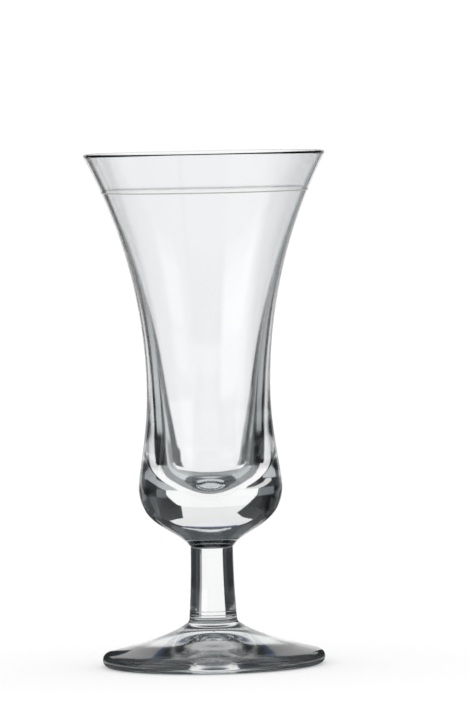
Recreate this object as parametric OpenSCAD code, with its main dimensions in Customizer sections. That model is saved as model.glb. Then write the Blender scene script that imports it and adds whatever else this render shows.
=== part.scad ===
// Cordial glass: a flared bowl with a thick solid base, on a short stem and a swept foot.
// The three glass pieces are fused end to end while hot, and a measure line is fired on outside.
// Everything is turned about Z. Millimetres, +Z up, origin in the middle of the standing ring.

/* [Foot] */
// Diameter of the foot
foot_d = 47.6; // [42:0.2:54]
// Height of the foot, from the table to its seam with the stem
foot_h = 10.9; // [9.5:0.1:13]
// Radius of the foot's rounded edge
foot_edge_r = 1.5; // [1:0.05:2]
// Slope of the foot's top at its edge, in degrees
foot_edge_slope = 14; // [8:0.5:16]
// Slope of the foot's top where it leaves the crease, in degrees
foot_crease_slope = 36; // [25:0.5:40]
// Radius of the crease where the foot turns up to the stem
foot_crease_r = 1.3; // [0.6:0.05:2]
// Height of the straight neck between the crease and the seam
foot_neck_h = 0.8; // [0.4:0.1:1.5]
// How far the foot's neck stands out past the end of the stem
foot_neck_lip = 0.05; // [0.02:0.01:0.15]
// Width of the flat ring that stands on the table
stand_w = 2.4; // [1:0.1:4]
// Height of the hollow under the foot
punt_h = 3.5; // [0.6:0.1:4.2]
// Slope of the hollow where it rises from the ring, in degrees
punt_edge_slope = 0.5; // [0:0.5:6]

/* [Stem] */
// Length of the stem between its two seams
stem_h = 14.3; // [8:0.1:30]
// Diameter of the stem at its seam with the bowl
stem_top_d = 9.1; // [7:0.1:11]
// Diameter of the stem at its seam with the foot
stem_end_d = 10.1; // [8:0.1:12]
// Rounding of the edges that meet at each seam
seam_round_r = 0.12; // [0.05:0.01:0.25]

/* [Bowl outside] */
// Height of the bowl, from its seam with the stem to the top of the rim
bowl_h = 84.3; // [76:0.1:95]
// Diameter across the outside of the mouth
mouth_d = 51.6; // [46:0.1:58]
// Height of the waist above the bowl's seam
waist_h = 33.4; // [30:0.1:38]
// Diameter across the waist
waist_d = 26.4; // [23:0.1:29]
// Height of the widest part of the base above the bowl's seam
base_h = 12.8; // [12:0.1:15]
// Diameter across the widest part of the base
base_d = 30.8; // [28:0.1:34]
// Radius of the corner that turns in under the base
base_corner_r = 9.5; // [8:0.1:10.8]
// Radius of the crease between the base and the stem
neck_crease_r = 9.4; // [4:0.1:12]
// Slope of the base's underside where it meets the stem, in degrees
neck_crease_slope = 53; // [40:1:60]

/* [Bowl inside] */
// Thickness of the wall at the rim
rim_wall = 0.85; // [0.6:0.05:1.4]
// Thickness of the wall at the waist
waist_wall = 2.9; // [2:0.1:4]
// Draft of the bore at the waist and below it, in degrees
bore_draft = 4.8; // [2:0.1:7]
// Thickness of solid glass between the bowl's seam and the bottom of the bore
solid_h = 11.3; // [9:0.1:14]
// Height of the bore's rounded end
bore_end_h = 6.7; // [5:0.1:9]

/* [Measure line] */
// Distance from the top of the rim down to the middle of the measure line
line_drop = 8.3; // [4:0.1:20]
// Width of the measure line
line_w = 0.32; // [0.2:0.02:0.8]
// Thickness of the line's enamel
line_t = 0.1; // [0.05:0.01:0.15]

/* [Hidden] */
$fn = 180;
glass_colour = [0.86, 0.91, 0.92, 0.45];
enamel_colour = [0.93, 0.92, 0.87];
// Facets along a long curve, a short one and a small rounding
long_steps = 24;
short_steps = 12;
round_steps = 6;
// How far a curve's handles reach, as shares of the height or width that the curve spans
quarter_round_share = 0.552;
punt_inner_share = 0.32;
punt_outer_share = 0.52;
foot_inner_share = 0.19;
foot_outer_share = 0.49;
body_lower_share = 0.13;
body_upper_share = 0.42;
bore_lower_share = 0.33;
bore_upper_share = 0.33;

foot_r = foot_d / 2;
stem_top_r = stem_top_d / 2;
stem_end_r = stem_end_d / 2;
base_r = base_d / 2;
waist_r = waist_d / 2;
rim_round_r = rim_wall / 2;
bowl_z = foot_h + stem_h;
base_z = bowl_z + base_h;
waist_z = bowl_z + waist_h;
rim_z = bowl_z + bowl_h;

// A direction in the r, z plane, at an angle above the outward horizontal
function direction(angle) = [cos(angle), sin(angle)];

// Points along an arc about a centre, from one angle to another
function arc(centre, radius, from, to, steps) =
    [for (i = [0:steps]) centre + radius * direction(from + (to - from) * i / steps)];

// Points along a cubic curve, which leaves its start towards one handle
// and comes to its end from the other
function curve(start, handle, end_handle, end, steps) =
    [for (i = [0:steps])
        let (t = i / steps, u = 1 - t)
        u * u * u * start + 3 * u * u * t * handle + 3 * u * t * t * end_handle + t * t * t * end];

// The same points in the other order
function backwards(points) = [for (i = [len(points) - 1:-1:0]) points[i]];

// All points but the first, for a stretch that carries on from another
function onwards(points) = [for (i = [1:len(points) - 1]) points[i]];

// Foot: a bell-shaped hollow below, a flat standing ring, a round edge, a long sweep and a neck
neck_r = stem_end_r + foot_neck_lip;
foot_edge_centre = [foot_r - foot_edge_r, foot_edge_r];
foot_edge_top = foot_edge_centre + foot_edge_r * direction(90 - foot_edge_slope);
crease_centre = [neck_r + foot_crease_r, foot_h - foot_neck_h];
crease_end = crease_centre - foot_crease_r * direction(90 - foot_crease_slope);
sweep_w = foot_edge_top[0] - crease_end[0];
punt_r = foot_r - foot_edge_r - stand_w;
foot_outline = concat(
    curve(
        [0, punt_h],
        [punt_inner_share * punt_r, punt_h],
        [punt_r, 0] + punt_outer_share * punt_r * [-1, tan(punt_edge_slope)],
        [punt_r, 0],
        long_steps),
    arc(foot_edge_centre, foot_edge_r, -90, 90 - foot_edge_slope, short_steps),
    onwards(curve(
        foot_edge_top,
        foot_edge_top + foot_outer_share * sweep_w * [-1, tan(foot_edge_slope)],
        crease_end + foot_inner_share * sweep_w * [1, -tan(foot_crease_slope)],
        crease_end,
        long_steps)),
    onwards(arc(crease_centre, foot_crease_r, 270 - foot_crease_slope, 180, round_steps)),
    arc([neck_r - seam_round_r, foot_h - seam_round_r], seam_round_r, 0, 90, round_steps),
    [[0, foot_h]]
);

// Stem: it leaves the bowl upright, and swells as the square of the distance from it
stem_side_h = stem_h - 2 * seam_round_r;
stem_side = [for (i = [0:long_steps])
    let (t = 1 - i / long_steps)
    [stem_top_r + (stem_end_r - stem_top_r) * t * t, bowl_z - seam_round_r - t * stem_side_h]];
stem_outline = concat(
    [[0, foot_h]],
    arc([stem_end_r - seam_round_r, foot_h + seam_round_r], seam_round_r, -90, 0, round_steps),
    onwards(stem_side),
    onwards(arc([stem_top_r - seam_round_r, bowl_z - seam_round_r], seam_round_r, 0, 90, round_steps)),
    [[0, bowl_z]]
);

// Underside of the bowl: the cone is the line that touches both the crease and the corner
corner_centre = [base_r - base_corner_r, base_z];
neck_point = [stem_top_r, bowl_z + seam_round_r];
neck_crease_centre = neck_point + neck_crease_r * direction(neck_crease_slope - 90);
between = corner_centre - neck_crease_centre;
underside_slope = atan2(between[1], between[0])
    - asin((base_corner_r + neck_crease_r) / norm(between));
underside = concat(
    arc(neck_point - [seam_round_r, 0], seam_round_r, -90, 0, round_steps),
    onwards(arc(neck_crease_centre, neck_crease_r,
        90 + neck_crease_slope, 90 + underside_slope, short_steps)),
    arc(corner_centre, base_corner_r, underside_slope - 90, 0, short_steps)
);

// Flare: one arc, upright at the waist, that runs into the round of the rim
rim_centre = [mouth_d / 2 - rim_round_r, rim_z - rim_round_r];
rise = rim_centre - [waist_r, waist_z];
flare_r = (rise * rise - rim_round_r * rim_round_r) / (2 * (rise[0] + rim_round_r));
flare_centre = [waist_r + flare_r, waist_z];
rim_lean = asin(rise[1] / (flare_r + rim_round_r));

// The measure line sits on one flat of the flare, as wide as the line
line_lean = asin((rim_z - line_drop - waist_z) / flare_r);
line_half_angle = asin(line_w / (2 * flare_r));
line_low = flare_centre - flare_r * direction(line_half_angle - line_lean);
line_high = flare_centre - flare_r * direction(-line_half_angle - line_lean);

body_h = waist_z - base_z;
outside = concat(
    underside,
    onwards(curve(
        [base_r, base_z],
        [base_r, base_z + body_lower_share * body_h],
        [waist_r, waist_z - body_upper_share * body_h],
        [waist_r, waist_z],
        short_steps)),
    onwards(arc(flare_centre, flare_r, 180, 180 + line_half_angle - line_lean, long_steps)),
    arc(flare_centre, flare_r, 180 - line_half_angle - line_lean, 180 - rim_lean, round_steps)
);

// Bore: a rounded end, a straight draft up to the waist, and a curve out to the rim
bore_waist = [waist_r - waist_wall, waist_z];
bore_end_z = bowl_z + solid_h + bore_end_h;
bore_end_r = bore_waist[0] - (waist_z - bore_end_z) * tan(bore_draft);
rim_inside = rim_centre + rim_round_r * direction(180 - rim_lean);
bore_rise = rim_inside[1] - waist_z;
bore = concat(
    curve(
        [0, bowl_z + solid_h],
        [quarter_round_share * bore_end_r, bowl_z + solid_h],
        [bore_end_r, bore_end_z] - quarter_round_share * bore_end_h * [tan(bore_draft), 1],
        [bore_end_r, bore_end_z],
        short_steps),
    curve(
        bore_waist,
        bore_waist + bore_lower_share * bore_rise * [tan(bore_draft), 1],
        rim_inside - bore_upper_share * bore_rise * [tan(rim_lean), 1],
        rim_inside,
        long_steps)
);
rim_round = arc(rim_centre, rim_round_r, -rim_lean, 180 - rim_lean, short_steps);

module bowl() {
    color(glass_colour)
        rotate_extrude()
            polygon(concat([[0, bowl_z]], outside, onwards(rim_round), onwards(backwards(bore))));
}

module stem() {
    color(glass_colour)
        rotate_extrude()
            polygon(stem_outline);
}

module foot() {
    color(glass_colour)
        rotate_extrude()
            polygon(foot_outline);
}

// The enamel draws itself up into a low dome on the glass
module fill_line() {
    dome_r = (line_w * line_w / 4 + line_t * line_t) / (2 * line_t);
    dome_half_angle = asin(line_w / (2 * dome_r));
    dome_centre = (line_low + line_high) / 2 - (dome_r - line_t) * direction(-line_lean);
    color(enamel_colour)
        rotate_extrude()
            polygon(arc(dome_centre, dome_r, -line_lean - dome_half_angle,
                -line_lean + dome_half_angle, round_steps));
}

bowl();
stem();
foot();
fill_line();
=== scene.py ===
# %% [markdown]
# # A cordial glass, dressed for the studio
# This lesson finishes a small stemmed glass. The exact solids come from the CAD model as a fixed
# frame. They give every size and place, but their facets would show in clear glass, where each
# flat bends the light a little differently. So each piece of glass is turned again here, finely
# and smoothly, from the outline of its own solid. Then it gets glass with the small faults that
# real pressed glass has, and a studio, because clear glass shows nothing but what is round it.

# %% Load the frame
from math import pi, radians, tan
import bpy
from mathutils import Matrix, Vector


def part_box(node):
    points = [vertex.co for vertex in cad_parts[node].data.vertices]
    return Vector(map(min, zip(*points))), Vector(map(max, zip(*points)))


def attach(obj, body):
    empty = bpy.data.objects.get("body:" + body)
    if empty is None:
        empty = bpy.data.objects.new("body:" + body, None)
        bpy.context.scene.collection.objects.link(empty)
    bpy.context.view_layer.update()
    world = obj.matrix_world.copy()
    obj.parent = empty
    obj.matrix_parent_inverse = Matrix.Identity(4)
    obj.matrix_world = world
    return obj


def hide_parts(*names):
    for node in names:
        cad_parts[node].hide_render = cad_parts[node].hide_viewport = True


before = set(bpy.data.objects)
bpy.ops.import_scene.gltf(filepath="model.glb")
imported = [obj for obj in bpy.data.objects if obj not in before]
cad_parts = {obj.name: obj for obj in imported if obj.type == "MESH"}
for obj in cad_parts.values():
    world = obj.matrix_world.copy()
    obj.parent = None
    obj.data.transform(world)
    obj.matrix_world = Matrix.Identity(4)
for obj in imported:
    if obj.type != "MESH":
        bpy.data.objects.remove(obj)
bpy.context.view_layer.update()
scene = bpy.context.scene
MM = 0.001

# %% [markdown]
# The photograph was taken from over a metre away with a long lens, which is why the mouth and the
# foot look so flat. The camera stands a little above the rim and looks slightly down. It is also
# turned about its own line of sight by about a degree, because the glass leans in the picture.
# The lens is in millimetres on Blender's usual sensor. All other lengths are in metres.

# %% Camera
EYE = Vector((0, -1.407, 0.1306))
AIM = Vector((0.00565, 0, 0.0645))
LENS = 328
ROLL = radians(-1.18)
CLIP_END = 20


def add_camera():
    """Adds the camera at the photographer's place and turns it by the roll."""
    bpy.ops.object.camera_add(location=EYE)
    camera = bpy.context.object
    camera.name = "camera"
    camera.data.lens = LENS
    camera.data.clip_end = CLIP_END
    camera.rotation_euler = (AIM - EYE).to_track_quat("-Z", "Y").to_euler()
    camera.rotation_euler.rotate_axis("Z", ROLL)
    scene.camera = camera
    print("camera", round((AIM - EYE).length, 3), "m from its aim")


add_camera()

# %% [markdown]
# Blender's operators act on what is selected. By hand you click; in a script you say which piece
# is active, and pick its corners or faces by a test on where they are or which way they look.
# These three helpers do that, and the later cells lean on them.

# %% Select in code
def only(piece):
    """Makes this piece the one that the operators act on."""
    bpy.ops.object.select_all(action="DESELECT")
    piece.select_set(True)
    bpy.context.view_layer.objects.active = piece


def choose_verts(piece, wanted):
    """In edit mode, selects the vertices for which wanted(place) is true."""
    bpy.ops.mesh.select_mode(type="VERT")
    bpy.ops.mesh.select_all(action="DESELECT")
    bpy.ops.object.mode_set(mode="OBJECT")
    for vert in piece.data.vertices:
        vert.select = wanted(vert.co)
    bpy.ops.object.mode_set(mode="EDIT")


def choose_faces(piece, wanted):
    """In edit mode, selects the faces for which wanted(middle, normal) is true."""
    bpy.ops.mesh.select_mode(type="FACE")
    bpy.ops.mesh.select_all(action="DESELECT")
    bpy.ops.object.mode_set(mode="OBJECT")
    for face in piece.data.polygons:
        face.select = wanted(face.center, face.normal)
    bpy.ops.object.mode_set(mode="EDIT")


# %% [markdown]
# A glass is turned about one axis, so its whole form is in one outline. The CAD solid has that
# outline exactly. A copy of it is cut through the axis with Bisect, the cut edge is kept, and the
# edge is spun round again in many small steps. Drawing the outline again by hand would also do,
# but then two drawings would have to be kept in step. Subdivision Surface then rounds off what is
# left of the steps, which matters more in glass than in any other material.

# %% Turn a piece from its own outline
SPIN_STEPS = 128
TINY = 1e-6
STRAIGHT = radians(0.05)
SMOOTH_LEVELS = 1


def outline_of(node, name):
    """A new piece that holds only the right half of a CAD node's cut edge."""
    piece = bpy.data.objects.new(name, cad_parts[node].data.copy())
    scene.collection.objects.link(piece)
    only(piece)
    piece.data.materials.clear()
    bpy.ops.mesh.customdata_custom_splitnormals_clear()
    bpy.ops.object.mode_set(mode="EDIT")
    bpy.ops.mesh.select_all(action="SELECT")
    bpy.ops.mesh.remove_doubles(threshold=TINY)
    bpy.ops.mesh.bisect(plane_co=(0, 0, 0), plane_no=(0, 1, 0), clear_inner=True, clear_outer=True)
    choose_verts(piece, lambda place: place.x < -TINY)
    bpy.ops.mesh.delete(type="VERT")
    bpy.ops.mesh.select_all(action="SELECT")
    bpy.ops.mesh.dissolve_limited(angle_limit=STRAIGHT)
    bpy.ops.object.mode_set(mode="OBJECT")
    print(name, "outline of", len(piece.data.vertices), "points")
    return piece


def turned(node, name):
    """Spins the outline of a CAD node round +Z into a closed skin."""
    piece = outline_of(node, name)
    bpy.ops.object.mode_set(mode="EDIT")
    bpy.ops.mesh.select_all(action="SELECT")
    bpy.ops.mesh.spin(steps=SPIN_STEPS, angle=2 * pi, center=(0, 0, 0), axis=(0, 0, 1))
    bpy.ops.mesh.select_all(action="SELECT")
    bpy.ops.mesh.remove_doubles(threshold=TINY)
    bpy.ops.mesh.normals_make_consistent(inside=False)
    bpy.ops.object.mode_set(mode="OBJECT")
    return piece


def smoothed(piece):
    """Rounds the piece with Subdivision Surface and shades it smooth."""
    only(piece)
    smooth = piece.modifiers.new("smooth", "SUBSURF")
    smooth.levels = SMOOTH_LEVELS
    smooth.render_levels = SMOOTH_LEVELS
    bpy.ops.object.modifier_apply(modifier=smooth.name)
    bpy.ops.object.shade_smooth()
    print(piece.name, len(piece.data.polygons), "faces")


# %% [markdown]
# A material is a graph of nodes, and a long graph is hard to read as a list of links. So sums on
# its values are written as sums: `Value` wraps one socket, and each `+`, `*` or `<` adds a Math
# node. `Finish` holds one material and has one method for all other nodes, which takes the
# node's type, its settings, and what its sockets get. A Mix node has one set of sockets for each
# kind of value under the same names, so its colours are picked by number.

# %% A small language for materials
SOFT_DETAIL = 2
FINE_DETAIL = 4
MIX_SHARE = 0
MIX_FIRST = 6
MIX_SECOND = 7
MIX_RESULT = 2


class Value:
    """One socket of a finish, which sums can be written with."""

    def __init__(self, finish, socket):
        self.finish = finish
        self.socket = socket

    def maths(self, operation, left, right):
        """The result of a Math node on two values."""
        return self.finish.node("ShaderNodeMath", {"operation": operation}, {0: left, 1: right})

    def __add__(self, other):
        return self.maths("ADD", self, other)

    def __radd__(self, other):
        return self.maths("ADD", other, self)

    def __mul__(self, other):
        return self.maths("MULTIPLY", self, other)

    def __rmul__(self, other):
        return self.maths("MULTIPLY", other, self)

    def __lt__(self, other):
        return self.maths("LESS_THAN", self, other)


class Finish:
    """One material, from the even values of its shader to the nodes that vary it."""

    def __init__(self, name, shader, even):
        self.material = bpy.data.materials.new(name)
        self.material.use_nodes = True
        self.tree = self.material.node_tree
        self.tree.nodes.remove(self.tree.nodes["Principled BSDF"])
        surface = self.node(shader, {}, even)
        self.shader = surface.socket.node
        self.feed(self.tree.nodes["Material Output"].inputs["Surface"], surface)

    def feed(self, socket, value):
        """Links a value to a socket, or sets a plain number or colour on it."""
        if isinstance(value, Value):
            self.tree.links.new(value.socket, socket)
        else:
            socket.default_value = value

    def node(self, kind, settings, sockets, output=0):
        """Adds a node and gives one of its outputs."""
        made = self.tree.nodes.new(kind)
        for name, setting in settings.items():
            setattr(made, name, setting)
        for name, value in sockets.items():
            self.feed(made.inputs[name], value)
        return Value(self, made.outputs[output])

    def vary(self, socket, value):
        """Feeds one of the shader's sockets."""
        self.feed(self.shader.inputs[socket], value)

    def places(self):
        """The piece's own coordinates, in metres."""
        return self.node("ShaderNodeTexCoord", {}, {}, "Object")

    def noise(self, per_metre, detail=SOFT_DETAIL):
        """Soft noise about 0.5, with so many blobs in a metre along each axis."""
        spread = self.node("ShaderNodeMapping", {}, {"Vector": self.places(), "Scale": per_metre})
        return self.node("ShaderNodeTexNoise", {}, {"Vector": spread, "Scale": 1, "Detail": detail})

    def height(self):
        """How far above the table a point is, in metres."""
        return self.node("ShaderNodeSeparateXYZ", {}, {"Vector": self.places()}, "Z")

    def mixed(self, share, first, second):
        """A colour between two others."""
        colours = {MIX_SHARE: share, MIX_FIRST: first, MIX_SECOND: second}
        return self.node("ShaderNodeMix", {"data_type": "RGBA"}, colours, MIX_RESULT)

    def bumps(self, pattern, depth):
        """A normal that follows a pattern, where 0 to 1 is this depth in metres."""
        return self.node("ShaderNodeBump", {}, {"Height": pattern, "Distance": depth})


# %% [markdown]
# Clear glass has almost no colour of its own. What tells the eye that it is real are its faults:
# the surface is a little wavy, because it was shaped hot and set as it lay, and the ring that the
# glass stands on is dulled by tables. Both are noise on the piece's own coordinates. The waves go
# to a Bump node, stretched upwards, since glass is drawn that way. The scuffs raise the roughness
# below a small height. The skin isn't a perfect mirror either: POLISH is a very slight roughness
# all over, which softens the edges of what is seen in the glass.

# %% Clear glass
GLASS_TINT = (0.995, 0.997, 1, 1)
STREAK_TINT = (0.98, 0.985, 0.99, 1)
GLASS_IOR = 1.52
POLISH = 0.07
WAVES_PER_METRE = (110, 110, 45)
WAVE_DEPTH = 0.03 * MM
STREAKS_PER_METRE = (400, 400, 60)
SCUFFS_PER_METRE = (2500, 2500, 2500)
SCUFF_TOP = 0.15 * MM
SCUFF_ROUGHNESS = 0.35


def clear_glass():
    """Glass with soft waves, faint streaks and a scuffed standing ring."""
    glass = Finish("clear_glass", "ShaderNodeBsdfPrincipled", {
        "IOR": GLASS_IOR,
        "Transmission Weight": 1,
    })
    waves = glass.noise(WAVES_PER_METRE)
    streaks = glass.noise(STREAKS_PER_METRE, FINE_DETAIL)
    scuffs = glass.noise(SCUFFS_PER_METRE, FINE_DETAIL)
    at_table = glass.height() < SCUFF_TOP
    glass.vary("Base Color", glass.mixed(streaks, GLASS_TINT, STREAK_TINT))
    glass.vary("Roughness", POLISH + at_table * scuffs * SCUFF_ROUGHNESS)
    glass.vary("Normal", glass.bumps(waves, WAVE_DEPTH))
    return glass.material


glass_finish = clear_glass()
print("nodes in the glass:", len(glass_finish.node_tree.nodes))

# %% [markdown]
# The bowl, the stem and the foot are fused while hot, so there is no air between them. In the
# model they are three closed skins that meet face to face. Left as glass, the two faces of each
# joint would bend and mirror the light, and the joint would show as a bright disc inside. So
# these faces get a material with no weight at all, Alpha 0, and the light goes straight on. A
# thin inset round them keeps their rims crisp when the skin is rounded.

# %% The clear face of a joint
JOINT_INSET = 0.05 * MM
FLAT = 0.02 * MM
LEVEL = 0.999
JOINT_SLOT = 1

joint_finish = Finish("fused_joint", "ShaderNodeBsdfPrincipled", {
    "Base Color": GLASS_TINT,
    "Alpha": 0,
}).material


def clear_joint(piece, height):
    """Gives the flat face at this height the material of a fused joint."""
    only(piece)
    bpy.ops.object.mode_set(mode="EDIT")
    at_joint = lambda middle, normal: abs(middle.z - height) < FLAT and abs(normal.z) > LEVEL
    choose_faces(piece, at_joint)
    bpy.ops.mesh.inset(thickness=JOINT_INSET)
    choose_faces(piece, at_joint)
    piece.active_material_index = JOINT_SLOT
    bpy.ops.object.material_slot_assign()
    bpy.ops.object.mode_set(mode="OBJECT")
    print(piece.name, "joint", round(height / MM, 2), "mm above the table")


# %% [markdown]
# Now the three pieces of glass. Each is turned from its solid, its joints are cleared, and it is
# rounded. It then takes the place of the CAD node and rides on the one body of the glass.

# %% Bowl, stem and foot
def glass_piece(node, joints):
    """A turned piece of glass, with its joints clear, that stands for a CAD node."""
    piece = turned(node, node + "_glass")
    piece.data.materials.append(glass_finish)
    piece.data.materials.append(joint_finish)
    for height in joints:
        clear_joint(piece, height)
    smoothed(piece)
    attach(piece, "root")
    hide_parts(node)


stem_low, stem_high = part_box("stem")
foot_joint = stem_low[2]
bowl_joint = stem_high[2]
glass_piece("bowl", [bowl_joint])
glass_piece("stem", [foot_joint, bowl_joint])
glass_piece("foot", [foot_joint])

# %% [markdown]
# The measure line is a thread of enamel, laid on with a wheel and fired. It is not quite even:
# here and there the colour is thinner. The enamel itself is an opaque glass, so it is shiny, with
# a slightly rough skin from the firing.

# %% Measure line
ENAMEL_PALE = (0.62, 0.63, 0.59, 1)
ENAMEL_THIN = (0.42, 0.43, 0.4, 1)
ENAMEL_ROUGHNESS = 0.2
THIN_ROUGHNESS = 0.3
THIN_SPOTS_PER_METRE = (260, 260, 260)
SKIN_PER_METRE = (5000, 5000, 5000)
SKIN_DEPTH = 0.01 * MM


def fired_enamel():
    """Pale enamel with thin, rougher spots and a fine skin."""
    enamel = Finish("fired_enamel", "ShaderNodeBsdfPrincipled", {"IOR": GLASS_IOR})
    thin_spots = enamel.noise(THIN_SPOTS_PER_METRE, FINE_DETAIL)
    skin = enamel.noise(SKIN_PER_METRE)
    enamel.vary("Base Color", enamel.mixed(thin_spots, ENAMEL_PALE, ENAMEL_THIN))
    enamel.vary("Roughness", ENAMEL_ROUGHNESS + thin_spots * THIN_ROUGHNESS)
    enamel.vary("Normal", enamel.bumps(skin, SKIN_DEPTH))
    return enamel.material


line = turned("fill_line", "fill_line_enamel")
line.data.materials.append(fired_enamel())
smoothed(line)
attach(line, "root")
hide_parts("fill_line")

# %% [markdown]
# Glass is lit by what stands round it. Against white alone it would vanish, so the studio uses a
# bright field: a white sheet behind the glass, black flags on both sides of it that draw the dark
# edges, and soft boxes in front. A card is a sheet of even brightness, named for its place. It is
# either a strip spun round the glass or a flat sheet cut to an outline. The cards are seen in the
# glass only: the camera and the paper don't know that they are there.

# %% A card for the studio
CARD_Z = -0.03 * MM
CARD_STEPS = 24
WHITE = (1, 1, 1, 1)
COOL = (0.93, 0.98, 1, 1)
BLUE_BLACK = (0.84, 0.94, 1, 1)
BLUE = (0.45, 0.62, 1, 1)
BLUE_CARDS = ["sheet_edge"]
WHITE_ABOVE = 0.7
COOL_ABOVE = 0.25


def tint_of(name, brightness):
    """White cards are neutral, and dim ones lean to blue, as black cloth does."""
    if name in BLUE_CARDS:
        return BLUE
    if brightness > WHITE_ABOVE:
        return WHITE
    return COOL if brightness > COOL_ABOVE else BLUE_BLACK


def lit(made, brightness):
    """Makes an object a card that only the glass sees."""
    glow = {"Color": tint_of(made.name, brightness), "Strength": brightness}
    made.data.materials.append(Finish(made.name, "ShaderNodeEmission", glow).material)
    made.visible_camera = False
    made.visible_diffuse = False
    made.visible_shadow = False


def around(azimuth, point):
    """The place of a (radius, height) point at this azimuth."""
    return Matrix.Rotation(radians(-azimuth), 3, "Z") @ Vector((0, *point))


def card(name, near, far, start, end, brightness):
    """A bent card round the glass, between two (radius, height) points and two azimuths."""
    mesh = bpy.data.meshes.new(name)
    mesh.from_pydata([around(start, near), around(start, far)], [(0, 1)], [])
    made = bpy.data.objects.new(name, mesh)
    scene.collection.objects.link(made)
    only(made)
    bpy.ops.object.mode_set(mode="EDIT")
    bpy.ops.mesh.select_all(action="SELECT")
    bpy.ops.mesh.spin(
        steps=CARD_STEPS, angle=radians(end - start), center=(0, 0, 0), axis=(0, 0, 1))
    bpy.ops.object.mode_set(mode="OBJECT")
    lit(made, brightness)


def cut_card(name, brightness, corners):
    """A flat card cut to an outline of (azimuth, (radius, height)) corners."""
    mesh = bpy.data.meshes.new(name)
    mesh.from_pydata([around(*corner) for corner in corners], [], [range(len(corners))])
    made = bpy.data.objects.new(name, mesh)
    scene.collection.objects.link(made)
    lit(made, brightness)


# %% [markdown]
# The upright cards are written as a table, and most stand about eight metres out. Azimuth 0 is
# straight behind the glass, and it grows to the right, so 180 is the camera's side. The
# elevations are those of the card's two edges as the glass sees them. The thick base of the bowl
# turns this picture upside down and shows it small, so the outline of the white sheet can be read
# there. Two black cards cut to a hooked outline give it the narrow waist that the photograph
# shows. Two low black fences stand close to the foot. The stem looks out almost level and meets
# them, which gives it its dark sides. A view from higher up looks over them at the paler table.

# %% Upright cards
# Name: azimuth from and to, elevation from and to, in degrees, brightness, distance in metres
WALLS = {
    "white_sheet": (-35, 35, 0, 10, 1.0, 8.2),
    "white_sheet_high": (-35, 35, 10, 30, 0.85, 8.2),
    "flag_left": (-66, -33, 0, 60, 0.0, 8),
    "flag_right": (33, 66, 0, 60, 0.0, 8),
    "flag_top": (-33, 33, 28, 60, 0.08, 8),
    "sheet_edge": (-18, 18, 26.8, 28.8, 0.35, 7.8),
    "lamp_tube": (-14, 22, 31, 32, 0.9, 7.8),
    "flag_left_pale": (-62, -47, 8, 22, 0.05, 7.9),
    "flag_right_pale": (38, 62, 5, 22, 0.07, 7.9),
    "horizon_left": (-52, -31, 0, 5, 0.2, 7.8),
    "horizon_right": (28, 38, 0, 5, 0.12, 7.8),
    "side_left": (-95, -66, 0, 30, 0.0, 8),
    "side_right": (66, 95, 0, 30, 0.0, 8),
    "side_left_high": (-95, -66, 30, 60, 0.4, 8),
    "side_right_high": (66, 95, 30, 60, 0.4, 8),
    "softbox_left": (-150, -95, 0, 26, 1.5, 8),
    "softbox_right": (100, 132, 3, 26, 1.2, 8),
    "behind_softbox_right": (95, 150, 3, 26, 0.4, 8.1),
    "low_right": (95, 150, 0, 3, 0.05, 8),
    "high_left": (-150, -95, 26, 60, 0.8, 8),
    "high_right": (95, 150, 26, 60, 0.3, 8),
    "camera_low": (150, 210, 0, 9, 0.05, 8),
    "camera_strip": (165, 195, 0, 9, 0.4, 7.9),
    "side_strip_up": (-96, -84, 0, 9, 0.9, 7.9),
    "camera_middle": (150, 210, 9, 17, 0.4, 8),
    "camera_top": (150, 210, 17, 27, 0.5, 8),
    "camera_high": (150, 210, 27, 60, 0.7, 8),
    "ceiling": (-180, 180, 60, 88, 0.22, 8),
    "low_fence_left": (-66, -21, 0, 18, 0.02, 0.068),
    "low_fence_right": (25, 66, 0, 18, 0.02, 0.068),
}
# Name: brightness, distance, and the outline's corners as azimuth and elevation
HOOKS = {
    "hook_right": (0.01, 7.9, [
        (35, 0), (30, 0), (27, 4), (20, 9), (17.5, 9.5), (17.5, 17.5), (23, 19), (30, 22),
        (25, 26), (18, 28.5), (35, 28.5)]),
    "hook_left": (0.02, 7.9, [
        (-35, 0), (-31, 0), (-30, 4), (-22, 10), (-15.5, 14.5), (-20, 18), (-30, 22),
        (-25, 26), (-18, 28.5), (-35, 28.5)]),
}


def upright(radius, elevation):
    """The (radius, height) point at this distance that the glass sees at this elevation."""
    return (radius, radius * tan(radians(elevation)))


for name, (start, end, low, high, brightness, radius) in WALLS.items():
    card(name, upright(radius, low), upright(radius, high), start, end, brightness)
for name, (brightness, radius, corners) in HOOKS.items():
    cut_card(name, brightness, [(azimuth, upright(radius, high)) for azimuth, high in corners])
print(len(WALLS) + len(HOOKS), "upright cards")

# %% [markdown]
# The rest lie on the table round the foot. Much of their brightness is painted shade. Close to the
# foot the cards are dimmer than the paper, which paints the glass's own shadow on the table. A
# bright strip runs from the glass to the white sheet, with dark cards on both sides of it that
# paint the shade of the flags on the table, and the thick wall shows them as dark edges. Two pale
# cut cards lie on the far dark cards and end the white of the base in a thin upward sweep. Between
# the dark cards are paler gaps, so that the glass looks clear from higher up too.

# %% Cards on the table, with painted shade
TABLE_END = 8.5
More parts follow.
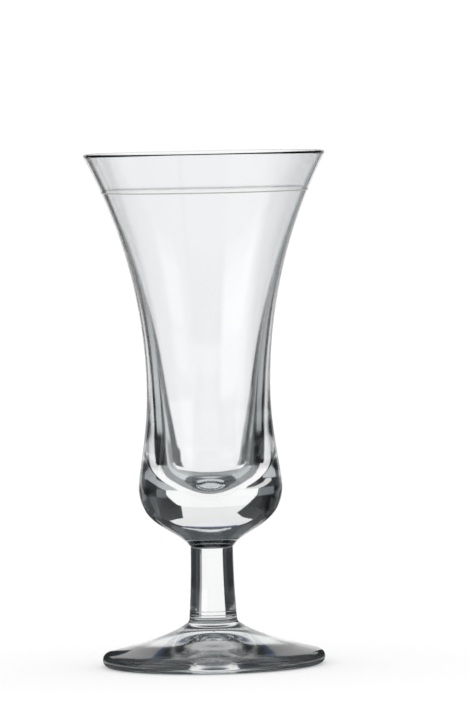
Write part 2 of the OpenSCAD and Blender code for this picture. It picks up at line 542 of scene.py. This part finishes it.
# Name: azimuth from and to, in degrees, distance from and to, in metres, brightness
MATS = {
    # Within 55 mm of the axis the cards are dimmer than the paper: painted shadow of the glass on
    # the table, darkest in the ring just round the foot.
    "under_foot": (-180, 180, 0, 0.01, 0.65),
    "foot_shadow_ring": (-180, 180, 0.01, 0.026, 0.08),
    "ring_back": (-66, 66, 0.026, 0.055, 0.3),
    "ring_left": (-180, -66, 0.026, 0.055, 0.65),
    "ring_right": (66, 180, 0.026, 0.055, 0.55),
    "near_white": (-38, 36, 0.055, 0.07, 0.97),
    # The dim cards from here to far_right lie in the flags' directions and are painted shade of the
    # flags on the table. The bright strip and the gaps are the lit table.
    "near_left": (-66, -38, 0.055, 0.07, 0.3),
    "near_right": (36, 66, 0.055, 0.07, 0.1),
    "strip": (-21, 20, 0.07, TABLE_END, 0.99),
    "strip_edge_right": (20, 25, 0.07, 0.3, 0.35),
    "flag_shade_left": (-34, -21, 0.07, 0.3, 0.02),
    "gap_left": (-55, -34, 0.07, 0.285, 0.6),
    "flag_shade_left_out": (-66, -55, 0.07, 0.3, 0.1),
    "flag_shade_left_far": (-55, -34, 0.285, 0.3, 0.03),
    "flag_shade_right": (25, 36, 0.07, 0.3, 0.015),
    "gap_right": (36, 56, 0.07, 0.285, 0.4),
    "flag_shade_right_out": (56, 66, 0.07, 0.3, 0.1),
    "flag_shade_right_far": (36, 56, 0.285, 0.3, 0.02),
    "far_left": (-66, -21, 0.3, TABLE_END, 0.04),
    "far_right": (20, 66, 0.3, TABLE_END, 0.03),
    "side_mat_left": (-96, -66, 0.055, 0.3, 0.6),
    "side_mat_left_far": (-84, -66, 0.3, TABLE_END, 0.15),
    "side_mat_right": (66, 95, 0.055, TABLE_END, 0.1),
    "front_mat_left": (-150, -96, 0.055, TABLE_END, 0.5),
    "front_mat_right": (95, 150, 0.055, 0.15, 0.3),
    "front_mat_right_far": (95, 150, 0.15, TABLE_END, 0.8),
    "front_mat_near": (150, 210, 0.055, 0.1, 0.15),
    "front_mat": (150, 210, 0.1, 0.3, 0.2),
    "front_mat_far": (150, 210, 0.3, TABLE_END, 0.9),
    "side_strip": (-96, -84, 0.3, TABLE_END, 0.95),
}
# Name: brightness, and the outline's corners as azimuth and distance
PATCHES = {
    "patch_left": (0.75, [
        (-46, 0.3), (-46, 0.45), (-40, 1), (-35, 3), (-32, TABLE_END), (-19, TABLE_END),
        (-19, 3), (-28, 1.2), (-35, 0.5), (-38, 0.3)]),
    "patch_right": (0.45, [
        (50, 0.22), (48, 0.3), (40, 0.5), (33, 1.5), (29, TABLE_END), (19, TABLE_END),
        (19, 1.5), (25, 0.5), (34, 0.3), (38, 0.22)]),
}
PATCH_Z = CARD_Z / 2

for name, (start, end, near, far, brightness) in MATS.items():
    card(name, (near, CARD_Z), (far, CARD_Z), start, end, brightness)
for name, (brightness, corners) in PATCHES.items():
    cut_card(name, brightness, [(azimuth, (far, PATCH_Z)) for azimuth, far in corners])
print(len(MATS) + len(PATCHES), "cards on the table")

# %% [markdown]
# The glass stands on white paper. Paper returns only part of the light that falls on it, so under
# a plain light it renders pale grey. What is missing to white is added as a faint glow for the
# camera, and for rays that come off or through the glass, and not for the light that the paper
# throws on the glass. The shadow still shows, because the glow is the same inside it. The world
# is plain white at its usual strength of 1, and it lights the paper and the enamel.

# %% Floor and world
FLOOR_Z = -0.05 * MM
FLOOR_RADIUS = 12
FLOOR_CORNERS = 96
PAPER = (0.8, 0.8, 0.8, 1)
PAPER_GLOW = 0.24


def seen(finish):
    """1 for a ray from the camera, or one that glass or metal sends on, and 0 for others."""
    to_camera = finish.node("ShaderNodeLightPath", {}, {}, "Is Camera Ray")
    off_metal = finish.node("ShaderNodeLightPath", {}, {}, "Is Glossy Ray")
    through_glass = finish.node("ShaderNodeLightPath", {}, {}, "Is Transmission Ray")
    return to_camera + off_metal + through_glass


paper = Finish("white_paper", "ShaderNodeBsdfPrincipled", {
    "Base Color": PAPER,
    "Roughness": 1,
    "Specular IOR Level": 0,
    "Emission Color": WHITE,
})
paper.vary("Emission Strength", seen(paper) * PAPER_GLOW)
bpy.ops.mesh.primitive_circle_add(
    vertices=FLOOR_CORNERS, radius=FLOOR_RADIUS, fill_type="NGON", location=(0, 0, FLOOR_Z))
floor = bpy.context.object
floor.name = "floor"
floor.data.materials.append(paper.material)

world = bpy.data.worlds.new("studio")
scene.world = world
world.use_nodes = True
world.node_tree.nodes["Background"].inputs["Color"].default_value = WHITE
scene.view_settings.view_transform = "Standard"
print("floor", 2 * FLOOR_RADIUS, "m across")
